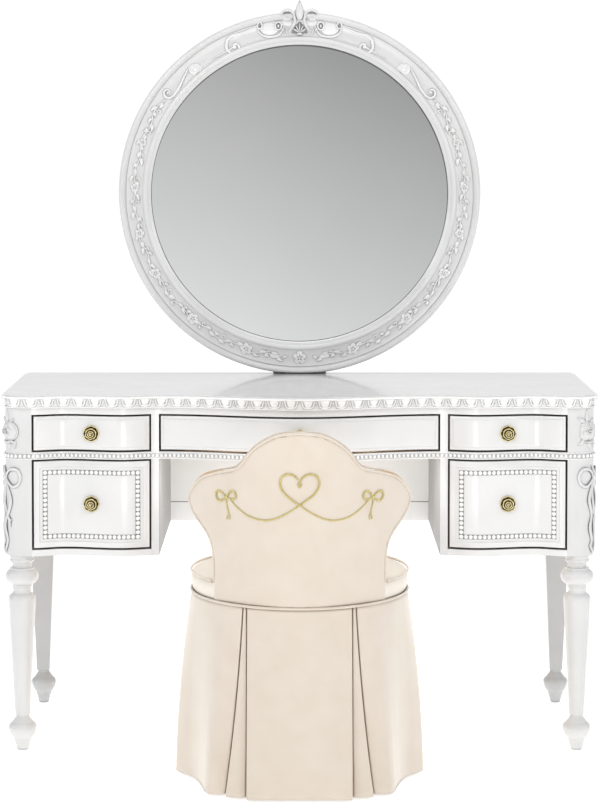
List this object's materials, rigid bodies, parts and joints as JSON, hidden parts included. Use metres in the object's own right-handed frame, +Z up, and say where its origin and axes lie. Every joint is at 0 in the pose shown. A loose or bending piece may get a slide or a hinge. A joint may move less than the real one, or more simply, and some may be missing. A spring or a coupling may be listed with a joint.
{
  "type": "miniature dressing table",
  "caption": "Miniature kneehole dressing table with a serpentine front, sliding drawers, a round framed mirror and a skirted chair with a scalloped back.",
  "frame": {"origin": "on the floor, midway across and midway between the rear of the chair back and the back of the mirror battens", "axes": "+X to the right seen from the front, +Y to the back of the table, +Z up"},
  "size_m": [0.1062, 0.079, 0.135],
  "materials": {
    "white_lacquer": "gloss",
    "drawer_wood": "satin",
    "brass": "polished",
    "mirror": "gloss",
    "backing_board": "matte",
    "cream_fabric": "satin",
    "gold_thread": "satin",
    "beech": "matte",
    "steel": "satin"
  },
  "bodies": {
    "desk": {"back_leg_left": "white_lacquer", "back_leg_right": "white_lacquer", "back_panel": "white_lacquer", "back_rail": "white_lacquer", "batten_screws": "steel", "bead_moulding": "white_lacquer", "bottom_rails": "white_lacquer", "corner_post_left": "white_lacquer", "corner_post_right": "white_lacquer", "drawer_partitions": "white_lacquer", "drawer_runners": "drawer_wood", "dust_board": "drawer_wood", "frieze_rail": "white_lacquer", "front_leg_left": "white_lacquer", "front_leg_right": "white_lacquer", "inner_panel_left": "white_lacquer", "inner_panel_right": "white_lacquer", "leg_dowels": "beech", "mid_rail": "white_lacquer", "mirror_backing": "backing_board", "mirror_battens": "white_lacquer", "mirror_crest": "white_lacquer", "mirror_frame": "white_lacquer", "mirror_glass": "mirror", "pedestal_floors": "drawer_wood", "rear_posts": "white_lacquer", "ribbon_appliques": "white_lacquer", "rose_appliques": "white_lacquer", "side_panel_left": "white_lacquer", "side_panel_right": "white_lacquer", "table_top": "white_lacquer", "top_moulding": "white_lacquer"},
    "drawer_upper_left": {"drawer_upper_left_front": "white_lacquer", "drawer_upper_left_box": "drawer_wood", "drawer_upper_left_knob": "brass"},
    "drawer_lower_left": {"drawer_lower_left_front": "white_lacquer", "drawer_lower_left_box": "drawer_wood", "drawer_lower_left_knob": "brass"},
    "drawer_upper_right": {"drawer_upper_right_front": "white_lacquer", "drawer_upper_right_box": "drawer_wood", "drawer_upper_right_knob": "brass"},
    "drawer_lower_right": {"drawer_lower_right_front": "white_lacquer", "drawer_lower_right_box": "drawer_wood", "drawer_lower_right_knob": "brass"},
    "drawer_center": {"drawer_center_front": "white_lacquer", "drawer_center_box": "drawer_wood", "drawer_center_knob": "brass"},
    "chair": {"back_board": "beech", "back_cover": "cream_fabric", "back_pad": "cream_fabric", "back_piping": "cream_fabric", "chair_legs": "beech", "embroidery": "gold_thread", "seat_band": "cream_fabric", "seat_board": "beech", "seat_cushion": "cream_fabric", "seat_frame": "beech", "seat_piping": "cream_fabric", "skirt": "cream_fabric"}
  },
  "joints": [
    {"name": "drawer_upper_left_slide", "type": "slide", "parent": "desk", "child": "drawer_upper_left", "axis": [0, -1, 0], "range_m": [0, 0.026]},
    {"name": "drawer_lower_left_slide", "type": "slide", "parent": "desk", "child": "drawer_lower_left", "axis": [0, -1, 0], "range_m": [0, 0.026]},
    {"name": "drawer_upper_right_slide", "type": "slide", "parent": "desk", "child": "drawer_upper_right", "axis": [0, -1, 0], "range_m": [0, 0.026]},
    {"name": "drawer_lower_right_slide", "type": "slide", "parent": "desk", "child": "drawer_lower_right", "axis": [0, -1, 0], "range_m": [0, 0.026]},
    {"name": "drawer_center_slide", "type": "slide", "parent": "desk", "child": "drawer_center", "axis": [0, -1, 0], "range_m": [0, 0.02]},
    {"name": "chair_pull_out", "type": "slide", "parent": "desk", "child": "chair", "axis": [0, -1, 0], "range_m": [0, 0.04]}
  ]
}
